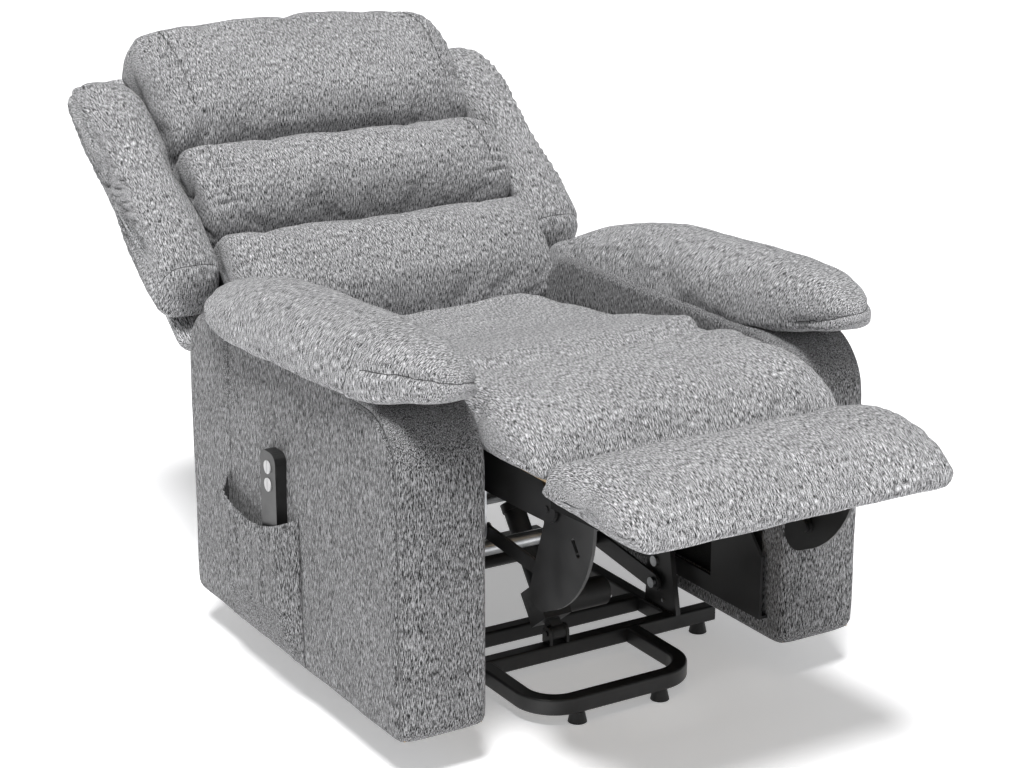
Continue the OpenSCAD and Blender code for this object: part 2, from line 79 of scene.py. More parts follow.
class Nodes:
    """Short hand for building one material's nodes."""

    def __init__(self, name):
        self.material = bpy.data.materials.new(name)
        self.material.use_nodes = True
        self.tree = self.material.node_tree
        self.shader = self.tree.nodes["Principled BSDF"]
        self.where = self.add("ShaderNodeTexCoord").outputs["Object"]

    def add(self, kind, inputs=None, **settings):
        node = self.tree.nodes.new(kind)
        for key, value in settings.items():
            setattr(node, key, value)
        for key, value in (inputs or {}).items():
            if isinstance(value, bpy.types.NodeSocket):
                self.tree.links.new(value, node.inputs[key])
            else:
                node.inputs[key].default_value = value
        return node

    def math(self, operation, a, b):
        return self.add("ShaderNodeMath", {0: a, 1: b}, operation=operation).outputs[0]

    def place(self, scale, turn=0.0):
        turned = self.add("ShaderNodeMapping", {"Vector": self.where, "Rotation": (turn, 0, 0)})
        return self.add("ShaderNodeMapping", {"Vector": turned.outputs[0], "Scale": scale}).outputs[0]

    def noise(self, scale, turn=0.0, detail=2.0, roughness=0.5):
        inputs = {"Vector": self.place(scale, turn), "Scale": 1.0, "Detail": detail, "Roughness": roughness}
        return self.add("ShaderNodeTexNoise", inputs).outputs[0]

    def ramp(self, value, stops):
        node = self.add("ShaderNodeValToRGB", {0: value})
        points = node.color_ramp.elements
        while len(points) < len(stops):
            points.new(0.5)
        for point, (place, colour) in zip(points, stops):
            point.position = place
            point.color = (*colour, 1)
        return node.outputs[0]

    def mix(self, factor, a, b, blend="MIX"):
        node = self.add("ShaderNodeMix", data_type="RGBA", blend_type=blend)
        for index, value in ((0, factor), (6, a), (7, b)):
            if isinstance(value, bpy.types.NodeSocket):
                self.tree.links.new(value, node.inputs[index])
            else:
                node.inputs[index].default_value = value
        return node.outputs[2]

    def finish(self, base, roughness, bump=None, bump_distance=0.0005, bump_strength=0.5, **constants):
        self.connect(base, "Base Color")
        self.connect(roughness, "Roughness")
        if bump is not None:
            inputs = {"Height": bump, "Distance": bump_distance, "Strength": bump_strength}
            node = self.add("ShaderNodeBump", inputs)
            self.tree.links.new(node.outputs[0], self.shader.inputs["Normal"])
        for key, value in constants.items():
            self.shader.inputs[key.replace("_", " ")].default_value = value
        return self.material

    def connect(self, value, socket):
        if isinstance(value, bpy.types.NodeSocket):
            self.tree.links.new(value, self.shader.inputs[socket])
        else:
            self.shader.inputs[socket].default_value = value


def grey(value):
    return (value, value, value * 1.01)


def heather_cloth(name, turn=0.0, painted_light=1.0, on_skin=False):
    """Slubby woven cloth. Its long yarns run along z turned by the angle about x, or, on a lofted skin, round
    its rings."""
    m = Nodes(name)
    if on_skin:
        m.where = m.add("ShaderNodeUVMap", uv_map=WEAVE).outputs[0]
        long_yarns = m.noise((140, 1200, 1), detail=1.6, roughness=0.55)
        crosses = m.noise((1200, 270, 1), detail=1.6, roughness=0.55)
        slubs = m.noise((55, 560, 1), detail=1.0)
    else:
        long_yarns = m.noise((1150, 1150, 140), turn, detail=1.6, roughness=0.55)
        cross_yarns = m.noise((250, 1200, 1200), turn, detail=1.6, roughness=0.55)
        face_yarns = m.noise((1200, 250, 1200), turn, detail=1.6, roughness=0.55)
        crosses = m.math("MULTIPLY", m.math("ADD", cross_yarns, face_yarns), 0.5)
        slubs = m.noise((560, 560, 60), turn, detail=1.0)
    patches = m.noise((9, 9, 7), detail=2.0)
    weave = m.math("ADD", m.math("MULTIPLY", long_yarns, 0.74), m.math("MULTIPLY", crosses, 0.26))
    tone = m.math("ADD", weave, m.math("MULTIPLY", m.math("SUBTRACT", slubs, 0.5), 0.20))
    # the yarn tones are scaled by this copy's brightness factor, which is painted light on lit faces and
    # painted shade on shaded faces
    yarn = m.ramp(
        tone,
        [
            (0.39, grey(0.01 * painted_light)),
            (0.45, grey(0.07 * painted_light)),
            (0.50, grey(0.22 * painted_light)),
            (0.55, grey(0.42 * painted_light)),
            (0.61, grey(0.68 * painted_light)),
        ],
    )
    soft = m.ramp(patches, [(0.35, grey(0.90)), (0.65, grey(1.0))])
    base = m.mix(1.0, yarn, soft, "MULTIPLY")
    rough = m.ramp(weave, [(0.3, grey(0.98)), (0.7, grey(0.82))])
    return m.finish(
        base,
        rough,
        bump=weave,
        bump_distance=0.0008,
        bump_strength=0.5,
        Sheen_Weight=0.12,
        Sheen_Roughness=0.5,
        Specular_IOR_Level=0.18,
    )


def stitch_thread():
    m = Nodes("seam_thread")
    fibre = m.noise((900, 900, 900), detail=1.0)
    base = m.ramp(fibre, [(0.3, grey(0.03)), (0.7, grey(0.10))])
    return m.finish(base, 0.9, bump=fibre, bump_distance=0.0003)


def black_lining():
    m = Nodes("black_lining")
    grain = m.noise((900, 900, 900), detail=2.0)
    folds = m.noise((14, 10, 7), detail=2.0)
    base = m.ramp(grain, [(0.3, grey(0.006)), (0.7, grey(0.022))])
    height = m.math("ADD", grain, m.math("MULTIPLY", folds, 6.0))
    return m.finish(base, 0.92, bump=height, bump_distance=0.0006, Specular_IOR_Level=0.2)


def coated_steel():
    m = Nodes("coated_steel")
    peel = m.noise((260, 260, 260), detail=2.0)
    wear = m.noise((22, 22, 22), detail=4.0)
    base = m.ramp(wear, [(0.35, grey(0.010)), (0.72, grey(0.022))])
    rough = m.ramp(wear, [(0.3, grey(0.30)), (0.7, grey(0.46))])
    return m.finish(base, rough, bump=peel, bump_distance=0.00008, bump_strength=0.4, Specular_IOR_Level=0.5)


def zinc_steel():
    m = Nodes("zinc_steel")
    brushed = m.noise((40, 700, 700), detail=2.0)
    cloudy = m.noise((35, 35, 35), detail=3.0)
    base = m.ramp(cloudy, [(0.3, (0.30, 0.31, 0.32)), (0.7, (0.52, 0.53, 0.54))])
    rough = m.ramp(brushed, [(0.3, grey(0.26)), (0.7, grey(0.44))])
    return m.finish(base, rough, bump=brushed, bump_distance=0.00006, Metallic=1.0)


def moulded_plastic(name, low, high, rough_low=0.42, rough_high=0.6):
    m = Nodes(name)
    pebble = m.noise((1500, 1500, 1500), detail=1.0)
    handling = m.noise((45, 45, 45), detail=3.0)
    base = m.ramp(handling, [(0.35, grey(low)), (0.65, grey(high))])
    rough = m.ramp(handling, [(0.3, grey(rough_low)), (0.7, grey(rough_high))])
    return m.finish(base, rough, bump=pebble, bump_distance=0.00008, bump_strength=0.5)


def plywood():
    m = Nodes("plywood")
    rings = m.noise((9, 160, 160), detail=4.0, roughness=0.6)
    pores = m.noise((60, 900, 900), detail=2.0)
    base = m.ramp(rings, [(0.35, (0.36, 0.24, 0.13)), (0.5, (0.52, 0.38, 0.22)), (0.65, (0.62, 0.48, 0.31))])
    return m.finish(base, 0.72, bump=pores, bump_distance=0.0003, bump_strength=0.5)


def elastic_webbing():
    m = Nodes("elastic_webbing")
    ribs = m.noise((90, 900, 900), detail=1.0)
    base = m.ramp(ribs, [(0.35, grey(0.012)), (0.65, grey(0.05))])
    return m.finish(base, 0.85, bump=ribs, bump_distance=0.0008, bump_strength=0.6)


# Copies of one heather cloth whose brightness factors are painted light and shade: the upright copy on the
# arms' sides, fronts and pocket is painted darker as shade, and the seat, pad and back copies are painted
# lighter as lit faces
CLOTH_UPRIGHT_SHADED = heather_cloth("heather_upright_painted_shade", 0.0, 0.70)
CLOTH_SEAT = heather_cloth("heather_seat", math.radians(90), 1.50)
CLOTH_SEAT_SKIN = heather_cloth("heather_seat_skin", painted_light=1.26, on_skin=True)
CLOTH_PAD = heather_cloth("heather_pad", painted_light=1.24, on_skin=True)
CLOTH_BACK_SKIN = heather_cloth("heather_back_skin", painted_light=1.18, on_skin=True)
CLOTH_BACK = heather_cloth("heather_back", math.radians(90) - BACK_TILT, 1.38)
THREAD = stitch_thread()
LINING = black_lining()
STEEL = coated_steel()
ZINC = zinc_steel()
DRIVE_PLASTIC = moulded_plastic("drive_plastic", 0.012, 0.022)
GLIDE_PLASTIC = moulded_plastic("glide_plastic", 0.010, 0.018)
HANDSET_PLASTIC = moulded_plastic("handset_plastic", 0.006, 0.012, 0.30, 0.42)
KEY_PLASTIC = moulded_plastic("key_plastic", 0.50, 0.60, 0.35, 0.48)
TIMBER = plywood()
WEBBING = elastic_webbing()

FINISHES = {
    "steel_black": STEEL,
    "steel_zinc": ZINC,
    "timber": TIMBER,
    "cover_fabric": CLOTH_UPRIGHT_SHADED,
    "cushion_fabric": CLOTH_SEAT,
    "lining": LINING,
    "webbing": WEBBING,
    "drive_plastic": DRIVE_PLASTIC,
    "glide_plastic": GLIDE_PLASTIC,
    "handset_plastic": HANDSET_PLASTIC,
    "button_plastic": KEY_PLASTIC,
}
for part in frame["record"]["subparts"]:
    cad_mesh = nodes[part["node"]].data
    cad_mesh.materials.clear()
    cad_mesh.materials.append(FINISHES[part["material_slot"]])
nodes["legrest_board"].data.materials[0] = LINING


# ---------- shape helpers ----------


def spline(a, b, c, d, t):
    """The point at t, from 0 to 1, on the smooth curve from b to c."""
    return 0.5 * (2 * b + (c - a) * t + (2 * a - 5 * b + 4 * c - d) * t**2 + (3 * b - a - 3 * c + d) * t**3)


def smooth_loop(points, count):
    """Evenly spaced points on a closed smooth curve through the given ones."""
    p = np.array(points, float)
    fine = []
    for i in range(len(p)):
        a, b, c, d = p[i - 1], p[i], p[(i + 1) % len(p)], p[(i + 2) % len(p)]
        for t in np.linspace(0, 1, 24, endpoint=False):
            fine.append(spline(a, b, c, d, t))
    return even_loop(fine, count)


def even_loop(points, count):
    """Evenly spaced points on a closed polyline."""
    closed = np.array(list(points) + [points[0]], float)
    reach = np.concatenate([[0], np.cumsum(np.linalg.norm(np.diff(closed, axis=0), axis=1))])
    marks = np.linspace(0, reach[-1], count, endpoint=False)
    return np.stack([np.interp(marks, reach, closed[:, k]) for k in range(closed.shape[1])], axis=1)


def smooth_line(points, count):
    """Evenly spaced points on an open smooth curve through the given ones."""
    p = np.array([points[0], *points, points[-1]], float)
    fine = []
    for i in range(1, len(p) - 2):
        a, b, c, d = p[i - 1 : i + 3]
        for t in np.linspace(0, 1, 16, endpoint=i == len(p) - 3):
            fine.append(spline(a, b, c, d, t))
    fine = np.array(fine)
    reach = np.concatenate([[0], np.cumsum(np.linalg.norm(np.diff(fine, axis=0), axis=1))])
    marks = np.linspace(0, reach[-1], count)
    return np.stack([np.interp(marks, reach, fine[:, k]) for k in range(fine.shape[1])], axis=1)


def outward(loop):
    """Outward unit normals of a closed loop in a plane."""
    ahead = np.roll(loop, -1, axis=0) - np.roll(loop, 1, axis=0)
    ahead /= np.linalg.norm(ahead, axis=1, keepdims=True) + 1e-9
    normal = np.stack([ahead[:, 1], -ahead[:, 0]], axis=1)
    area = np.sum(loop[:, 0] * np.roll(loop[:, 1], -1) - np.roll(loop[:, 0], -1) * loop[:, 1])
    return normal if area > 0 else -normal


def ripple(p, size, seed):
    return noise.noise(Vector((p[0] / size + seed, p[1] / size, p[2] / size)))


def in_row(points):
    """Chair coordinates in millimetres to the row frame in metres."""
    q = np.array(points, float) * MM
    q[..., 1] += ROW_Y * MM
    return q


def from_back(points):
    """(x, s, n) on the back to chair coordinates."""
    q = np.array(points, float)
    flat = SHELL_TIP + q[..., 1:2] * UP_BACK + q[..., 2:3] * OFF_BACK
    return np.concatenate([q[..., 0:1], flat], axis=-1)


def up_and_off(p):
    """(s, n) on the back of one chair point."""
    return (p[1:3] - SHELL_TIP) @ UP_BACK, (p[1:3] - SHELL_TIP) @ OFF_BACK


def side_word(side):
    return "right" if side > 0 else "left"


def add_mesh(name, verts, faces, material):
    mesh = bpy.data.meshes.new(name)
    mesh.from_pydata([tuple(v) for v in verts], [], faces)
    work = bmesh.new()
    work.from_mesh(mesh)
    bmesh.ops.recalc_face_normals(work, faces=work.faces)
    work.to_mesh(mesh)
    work.free()
    mesh.materials.append(material)
    mesh.polygons.foreach_set("use_smooth", [True] * len(mesh.polygons))
    obj = bpy.data.objects.new(name, mesh)
    bpy.context.scene.collection.objects.link(obj)
    return obj


def loft(name, rings, material):
    """A closed skin through rings of equal length, closed at both ends."""
    rings = [np.array(r, float) for r in rings]
    count = len(rings[0])
    verts = np.concatenate(rings + [rings[0].mean(0)[None], rings[-1].mean(0)[None]])
    faces = []
    for i in range(len(rings) - 1):
        for j in range(count):
            k = (j + 1) % count
            faces.append((i * count + j, i * count + k, (i + 1) * count + k, (i + 1) * count + j))
    low, high = len(verts) - 2, len(verts) - 1
    last = (len(rings) - 1) * count
    for j in range(count):
        k = (j + 1) % count
        faces.append((low, k, j))
        faces.append((high, last + j, last + k))
    obj = add_mesh(name, in_row(verts), faces, material)
    lay_weave(obj, rings)
    return obj


def lay_weave(obj, rings):
    """Texture coordinates in metres: u round the rings, v from one ring to the next."""
    count = len(rings[0])
    around = np.mean([np.linalg.norm(np.roll(r, -1, axis=0) - r, axis=1) for r in rings], axis=0)
    u = np.concatenate([[0.0], np.cumsum(around)]) * MM
    steps = [np.linalg.norm(b - a, axis=1).mean() for a, b in zip(rings[:-1], rings[1:])]
    v = np.concatenate([[0.0], np.cumsum(steps)]) * MM
    layer = obj.data.uv_layers.new(name=WEAVE)
    for face in obj.data.polygons:
        corners = [i for i in face.vertices if i < len(rings) * count]
        crosses_start = {0, count - 1} <= {i % count for i in corners}
        for loop in face.loop_indices:
            i = obj.data.loops[loop].vertex_index
            if i >= len(rings) * count:
                i = corners[0]
            row, column = divmod(i, count)
            layer.data[loop].uv = (u[count] if crosses_start and column == 0 else u[column], v[row])


def end_columns(half, edge, dome):
    """(x, inset, shrink) from one end's middle to its rounded edge, for x > 0."""
    columns = [(half + dome * (1 - f * f), edge, f) for f in (0.12, 0.35, 0.6, 0.82)]
    for angle in np.linspace(0, 90, 6):
        a = math.radians(angle)
        columns.append((half - edge + edge * math.cos(a), edge * (1 - math.sin(a)), 1.0))
    return columns


ROLL_POINTS = 88
ROLL_STEP = 13


def roll(name, outline, half, material, swell_at, edge=26, dome=6, to_chair=None):
    """A stuffed roll across the chair. outline is closed, in the plane that x stands on.
    swell_at(x, points) gives how far each outline point stands out at x."""
    base = smooth_loop(outline, ROLL_POINTS)
    centre = base.mean(0)
    normal = outward(base)
    ends = end_columns(half, edge, dome)
    inner = half - edge
    middle = [(x, 0.0, 1.0) for x in np.linspace(inner, -inner, int(2 * inner / ROLL_STEP))[1:-1]]
    columns = ends + middle + [(-x, inset, f) for x, inset, f in reversed(ends)]
    rings = []
    for x, inset, shrink in columns:
        flat = base - normal * inset
        flat = flat + normal * swell_at(x, base)[:, None]
        flat = centre + (flat - centre) * shrink
        ring = np.concatenate([np.full((ROLL_POINTS, 1), x), flat], axis=1)
        rings.append(to_chair(ring) if to_chair else ring)
    return loft(name, rings, material)


def coords(obj):
    flat = np.zeros(len(obj.data.vertices) * 3)
    obj.data.vertices.foreach_get("co", flat)
    return flat.reshape(-1, 3)


def set_coords(obj, points):
    obj.data.vertices.foreach_set("co", np.ascontiguousarray(points, dtype=np.float32).ravel())
    obj.data.update()


def normals(obj):
    flat = np.zeros(len(obj.data.vertices) * 3)
    obj.data.vertices.foreach_get("normal", flat)
    return flat.reshape(-1, 3)


SWELL_FRAMES = 14
SWELL_PRESSURE = 4.0
to_swell = []


def stuffed(obj, cap, holds):
    """Keeps a piece for the cloth run, in which no point moves further than cap millimetres.
    holds(points) gives how firmly each chair point is sewn down, 0 to 1."""
    to_swell.append((obj, cap, holds))


def chair_points(obj):
    q = coords(obj) / MM
    q[:, 1] -= ROW_Y
    return q


def swell_all():
    """Inflates every kept piece as cloth, caps how far its points move, and leaves plain meshes."""
    for obj, _, holds in to_swell:
        group = obj.vertex_groups.new(name="sewn")
        for index, weight in enumerate(holds(chair_points(obj))):
            if weight > 0:
                group.add([index], float(weight), "REPLACE")
        cloth = obj.modifiers.new("stuffing", "CLOTH")
        s = cloth.settings
        s.quality = 4
        s.mass = 0.25
        s.tension_stiffness = 12
        s.compression_stiffness = 6
        s.shear_stiffness = 4
        s.bending_stiffness = 0.6
        s.use_pressure = True
        s.uniform_pressure_force = SWELL_PRESSURE
        s.effector_weights.gravity = 0
        s.vertex_group_mass = "sewn"
        s.shrink_min = -0.02
        cloth.collision_settings.use_collision = False
        cloth.point_cache.frame_start = 1
        cloth.point_cache.frame_end = SWELL_FRAMES
    scene = bpy.context.scene
    for step in range(1, SWELL_FRAMES + 1):
        scene.frame_set(step)
    depsgraph = bpy.context.evaluated_depsgraph_get()
    moved = []
    for obj, cap, _ in to_swell:
        after = obj.evaluated_get(depsgraph)
        flat = np.zeros(len(after.data.vertices) * 3)
        after.data.vertices.foreach_get("co", flat)
        shift = flat.reshape(-1, 3) - coords(obj)
        reach = np.linalg.norm(shift, axis=1, keepdims=True) + 1e-9
        moved.append(coords(obj) + shift * np.minimum(1.0, cap * MM / reach))
    for (obj, _, _), points in zip(to_swell, moved):
        obj.modifiers.clear()
        obj.vertex_groups.clear()
        set_coords(obj, points)
    scene.frame_set(1)


def refine(obj):
    """One subdivision, applied, so that seams and gathers can be pressed in."""
    bpy.context.view_layer.objects.active = obj
    modifier = obj.modifiers.new("smooth", "SUBSURF")
    modifier.levels = modifier.render_levels = 1
    bpy.ops.object.modifier_apply(modifier=modifier.name)
    obj.data.polygons.foreach_set("use_smooth", [True] * len(obj.data.polygons))


def press(obj, depth_at):
    """Moves each point along its normal by depth_at(chair point), in millimetres."""
    points = coords(obj)
    lift = np.array([depth_at(p) for p in chair_points(obj)]) * MM
    set_coords(obj, points + normals(obj) * lift[:, None])


def path_gap(points, path):
    """Distance from each point to a polyline, all in millimetres."""
    best = np.full(len(points), 1e9)
    for a, b in zip(path[:-1], path[1:]):
        along = b - a
        t = np.clip(((points - a) @ along) / (along @ along + 1e-9), 0, 1)
        best = np.minimum(best, np.linalg.norm(points - (a + t[:, None] * along), axis=1))
    return best


TUBE_SIDES = 6


def tube(name, path, radius, material):
    """A thin closed tube along a path of row-frame points, in metres."""
    sides = TUBE_SIDES
    path = np.array(path, float)
    rings = []
    side = Vector((0.31, 0.17, 0.93))
    for i, p in enumerate(path):
        ahead = Vector(path[min(i + 1, len(path) - 1)] - path[max(i - 1, 0)]).normalized()
        side = (side - ahead * side.dot(ahead)).normalized()
        other = ahead.cross(side)
        rings.append([Vector(p) + (side * math.cos(a) + other * math.sin(a)) * radius for a in turns(sides)])
    verts = [tuple(v) for ring in rings for v in ring]
    faces = []
    for i in range(len(rings) - 1):
        for j in range(sides):
            k = (j + 1) % sides
            faces.append((i * sides + j, i * sides + k, (i + 1) * sides + k, (i + 1) * sides + j))
    faces.append(tuple(range(sides)))
    faces.append(tuple((len(rings) - 1) * sides + j for j in reversed(range(sides))))
    return add_mesh(name, verts, faces, material)


def turns(count):
    return [2 * math.pi * i / count for i in range(count)]


SEAM_PUFF = 1.0
SEAM_STEP = 7
THREAD_RADIUS = 0.55


def sew(obj, name, path, body, depth=2.6, width=5.0):
    """Sews a seam into obj along chair points: a groove with puffed edges, and the thread in it."""
    length = np.linalg.norm(np.diff(np.array(path, float), axis=0), axis=1).sum()
    dense = smooth_line(path, max(12, int(length / SEAM_STEP)))
    on_skin = []
    for p in in_row(dense):
        hit, place, _, _ = obj.closest_point_on_mesh(Vector(p))
        on_skin.append(np.array(place) if hit else p)
    line = np.array(on_skin) / MM
    gap = path_gap(coords(obj) / MM, line)
    groove = -depth * np.exp(-((gap / width) ** 2))
    lift = groove + SEAM_PUFF * np.exp(-(((gap - 2.6 * width) / (1.4 * width)) ** 2))
    set_coords(obj, coords(obj) + normals(obj) * lift[:, None] * MM)
    settled = []
    for p in on_skin:
        hit, place, normal, _ = obj.closest_point_on_mesh(Vector(p))
        settled.append(np.array(place) + np.array(normal) * 0.15 * MM)
    stitches = tube(name, settled, THREAD_RADIUS * MM, THREAD)
    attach(stitches, body)


def finish_soft(obj, body, cad_nodes):
    """Says what a stuffed piece moves with and which CAD nodes it stands for."""
    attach(obj, body)
    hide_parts(*cad_nodes)


# ---------- back rolls ----------

WING_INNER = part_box("wing_right")[0].x / MM
WING_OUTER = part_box("wing_right")[1].x / MM

BACK_HALF = WING_INNER - 13
LUMBAR_HALF = WING_INNER - 15

LUMBAR = [
    (-58, 60),
    (-62, 96),
    (-44, 126),
    (0, 146),
    (60, 158),
    (99, 155),
    (131, 138),
    (147, 108),
    (151, 84),
    (149, 60),
    (60, 56),
]
MIDDLE = [
    (148, 60),
    (148, 84),
    (153, 114),
    (171, 144),
    (207, 164),
    (246, 169),
    (290, 161),
    (320, 142),
    (335, 112),
    (338, 86),
    (336, 60),
    (240, 56),
]
HEAD = [
    (336, 60),
    (335, 86),
    (340, 114),
    (360, 148),
    (412, 166),
    (470, 174),
    (524, 169),
    (566, 152),
    (594, 124),
    (606, 88),
    (600, 52),
    (580, 28),
    (470, 36),
]


CROWN_FROM_N = 80
CREST_FROM_S = 540


def crowned(amount, half, crest=0.0):
    """Stands the front of a roll out in the middle of its width, and its top edge too where it has a crest."""

    def swell_at(x, base):
        front = np.clip((base[:, 1] - CROWN_FROM_N) / 60, 0, 1)
        top = np.clip((base[:, 0] - CREST_FROM_S) / 60, 0, 1)
        return (amount * front + crest * top) * (1 - (abs(x) / half) ** 2.4)

    return swell_at


def back_roll(name, outline, half, **shape):
    return roll(name, outline, half, CLOTH_BACK_SKIN, to_chair=from_back, **shape)


lumbar = back_roll("lumbar_roll", LUMBAR, LUMBAR_HALF, edge=17, dome=3, swell_at=crowned(8, LUMBAR_HALF))
middle = back_roll("middle_roll", MIDDLE, BACK_HALF, edge=17, dome=3, swell_at=crowned(8, BACK_HALF))
head = back_roll("head_roll", HEAD, BACK_HALF, edge=26, swell_at=crowned(10, BACK_HALF, crest=22))


def on_back(points):
    """Chair coordinates to (x, s, n)."""
    flat = points[:, 1:3] - SHELL_TIP
    return np.stack([points[:, 0], flat @ UP_BACK, flat @ OFF_BACK], axis=1)


def held_behind(points):
    return (on_back(points)[:, 2] < 100).astype(float)


for cushion in (lumbar, middle, head):
    stuffed(cushion, 10, held_behind)


# ---------- wings ----------

WING = [
    (58, 28),
    (53, 60),
    (60, 96),
    (88, 124),
    (150, 133),
    (260, 135),
    (360, 134),
    (440, 128),
    (492, 114),
    (534, 88),
    (556, 54),
    (548, 26),
    (480, 18),
    (300, 16),
    (120, 18),
]


def wing(side):
    """A padded wing: full along its front edge, drawn in towards its outer, gathered edge."""
    base = smooth_loop(WING, 104)
    normal = outward(base)
    centre = base.mean(0)
    mid, half = (WING_INNER + WING_OUTER) / 2, (WING_OUTER - WING_INNER) / 2
    rings = []
    for f in (0.1, 0.3, 0.55, 0.8):
        rings.append((half * 0.98 + 3 * (1 - f), 30.0, f))
    for angle in np.linspace(0, 90, 8):
        a = math.radians(angle)
        rings.append((half - 34 + 34 * math.cos(a), 30 * (1 - math.sin(a)), 1.0))
    inner = [(-x, inset * 0.8, f) for x, inset, f in reversed(rings)]
    out = []
    for x, inset, f in rings + [(0.0, -2.0, 1.0)] + inner:
        flat = centre + (base - normal * inset - centre) * f
        ring = np.concatenate([np.full((len(flat), 1), side * (mid + x)), flat], axis=1)
        out.append(from_back(ring))
    return loft(f"wing_pad_{side_word(side)}", out, CLOTH_BACK_SKIN)


wings = {side: wing(side) for side in (-1, 1)}
for pad in wings.values():
    stuffed(pad, 6, lambda points: (on_back(points)[:, 2] < 30).astype(float))


# ---------- seat, knee bolster, legrest ----------

SEAT = [
    (183, 476),
    (179, 500),
    (186, 522),
    (222, 531),
    (291, 526),
    (404, 508),
    (523, 496),
    (640, 486),
    (724, 478),
    (742, 462),
    (728, 448),
    (620, 440),
    (400, 458),
]
BOLSTER = [
    (178, 476),
    (184, 506),
    (170, 532),
    (130, 547),
    (84, 550),
    (6, 550),
    (-54, 539),
    (-100, 517),
    (-126, 492),
    (-127, 478),
    (-100, 472),
    (40, 471),
]
LEGREST = [
    (-132, 452),
    (-127, 474),
    (-144, 499),
    (-190, 515),
    (-240, 520),
    (-300, 513),
    (-346, 496),
    (-373, 474),
    (-373, 456),
    (-356, 446),
    (-250, 446),
]


def dished(x, base):
    """The seat sits lower in its middle towards the back."""
    rear = np.clip((base[:, 0] - 240) / 380, 0, 1)
    top = np.clip((base[:, 1] - 470) / 20, 0, 1)
    return top * (-16 * rear * (1 - (abs(x) / SEAT_HALF) ** 2) + 3 * (1 - rear))


def knee_crown(x, base):
    top = np.clip((base[:, 1] - 490) / 40, 0, 1)
    return 4 * top * (1 - (abs(x) / SEAT_HALF) ** 2.6)


seat = roll("seat_pad", SEAT, SEAT_HALF, CLOTH_SEAT_SKIN, edge=20, dome=0, swell_at=dished)
bolster = roll("knee_roll", BOLSTER, SEAT_HALF, CLOTH_SEAT_SKIN, edge=22, dome=0, swell_at=knee_crown)
legrest = roll("legrest_cushion", LEGREST, SEAT_HALF - 2, CLOTH_SEAT_SKIN, edge=20, dome=2, swell_at=knee_crown)
stuffed(seat, 8, lambda p: (p[:, 2] < 470).astype(float))
stuffed(bolster, 8, lambda p: (p[:, 2] < 480).astype(float))
stuffed(legrest, 8, lambda p: (p[:, 2] < 462).astype(float))


# ---------- arms ----------


ARM_POINTS = 96


def arm_outline(inset):
    """The arm's side view, wound the same way at every inset."""
    points = []
    corners = (
        (ARM_DEPTH - ARM_REAR_RADIUS, ARM_TOP - ARM_REAR_RADIUS, ARM_REAR_RADIUS, 0),
        (ARM_FRONT_RADIUS, ARM_TOP - ARM_FRONT_RADIUS, ARM_FRONT_RADIUS, 90),
        (14, ARM_BOTTOM + 14, 14, 180),
        (ARM_DEPTH - 14, ARM_BOTTOM + 14, 14, 270),
    )
    for y, z, radius, start in corners:
        for k in range(9):
            a = math.radians(start + 90 * k / 8)
            points.append((y + radius * math.cos(a), z + radius * math.sin(a)))
    loop = even_loop(points, ARM_POINTS)
    return loop - outward(loop) * inset


def arm_panel(side):
    """The upholstered box of one arm: rounded edges, slack outer face, and a return on the inner face."""
    edge = 15
    centre = arm_outline(0).mean(0)
    return_depth = 66
    columns = [(ARM_INNER + 26, return_depth), (ARM_INNER + 2, return_depth), (ARM_INNER, 58), (ARM_INNER, 40)]
    for angle in np.linspace(0, 90, 6):
        a = math.radians(angle)
        columns.append((ARM_INNER + edge - edge * math.cos(a), edge * (1 - math.sin(a))))
    for x in np.linspace(ARM_INNER + edge, ARM_OUTER - edge, 9)[1:-1]:
        columns.append((x, -1.5))
    for angle in np.linspace(90, 0, 6):
        a = math.radians(angle)
        columns.append((ARM_OUTER - edge + edge * math.cos(a), edge * (1 - math.sin(a))))
    rings = []
    for x, inset in columns:
        loop = arm_outline(inset)
        if inset == return_depth:
            # the return reaches further down beside the seat, under the pad's inner lip
            loop[:, 1] -= 50 * np.clip((loop[:, 1] - 390) / 90, 0, 1) * np.clip((loop[:, 0] - 120) / 80, 0, 1)
        rings.append(np.concatenate([np.full((len(loop), 1), x), loop], axis=1))
    face = arm_outline(edge)
    for f in (0.93, 0.84, 0.74, 0.63, 0.52, 0.4, 0.28, 0.16, 0.06):
        loop = centre + (face - centre) * f
        rings.append(np.concatenate([np.full((len(loop), 1), ARM_OUTER + 3.5 * (1 - f * f)), loop], axis=1))
    for ring in rings:
        ring[:, 0] *= side
    return loft(f"arm_panel_{side_word(side)}", rings, CLOTH_UPRIGHT_SHADED)


# heights and half-widths of the arm pads' parts, each against y
PAD_TOP = [
    (-62, 612),
    (-48, 630),
    (-18, 648),
    (50, 660),
    (150, 662),
    (289, 654),
    (455, 636),
    (601, 602),
    (690, 572),
    (739, 552),
    (768, 532),
]
PAD_LIP = [
    (-62, 606), (-46, 598), (-20, 593), (30, 587), (90, 576), (192, 563),
    (353, 555), (484, 548), (600, 552), (690, 540), (768, 512),
]
PAD_OUTER_EDGE = [
    (-62, 350), (-52, 366), (-26, 386), (20, 406), (90, 426), (400, 434),
    (560, 430), (650, 404), (720, 374), (768, 346),
]
PAD_INNER_EDGE = [
    (-62, 332), (-50, 318), (-26, 302), (20, 290), (80, 277), (330, 276),
    (450, 272), (640, 272), (720, 286), (768, 316),
]
PAD_INNER_HANG = [
    (-62, 0), (40, 0), (150, 4), (300, 14), (370, 36), (450, 62),
    (640, 70), (710, 40), (768, 0),
]
PAD_FRONT, PAD_REAR = -62, 768


def at_depth(y, table):
    ys, values = zip(*table)
    return float(np.interp(y, ys, values))


